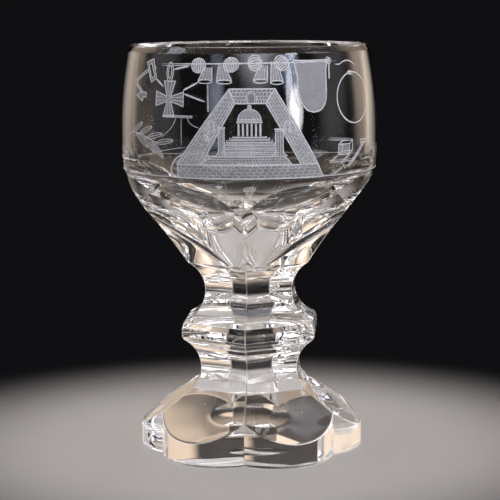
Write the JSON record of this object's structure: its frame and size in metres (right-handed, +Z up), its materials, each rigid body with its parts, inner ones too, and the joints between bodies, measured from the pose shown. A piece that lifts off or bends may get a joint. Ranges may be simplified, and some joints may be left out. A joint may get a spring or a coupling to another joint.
{
  "type": "firing glass",
  "caption": "Heavy stemmed firing glass with a round banded bowl over arched cut panels, a hexagonal stem with a knop, and a thick six-lobed foot.",
  "frame": {"origin": "centre of the foot's underside, on the surface the glass stands on", "axes": "+Z up along the glass's axis; -Y through a corner of the hexagonal stem and a notch of the foot, toward the engraved scene"},
  "size_m": [0.088, 0.088, 0.14],
  "materials": {
    "glass": "polished, with a matt wheel-engraved band on the bowl"
  },
  "bodies": {
    "root": {"bowl": "glass", "stem": "glass", "foot": "glass"}
  },
  "joints": []
}
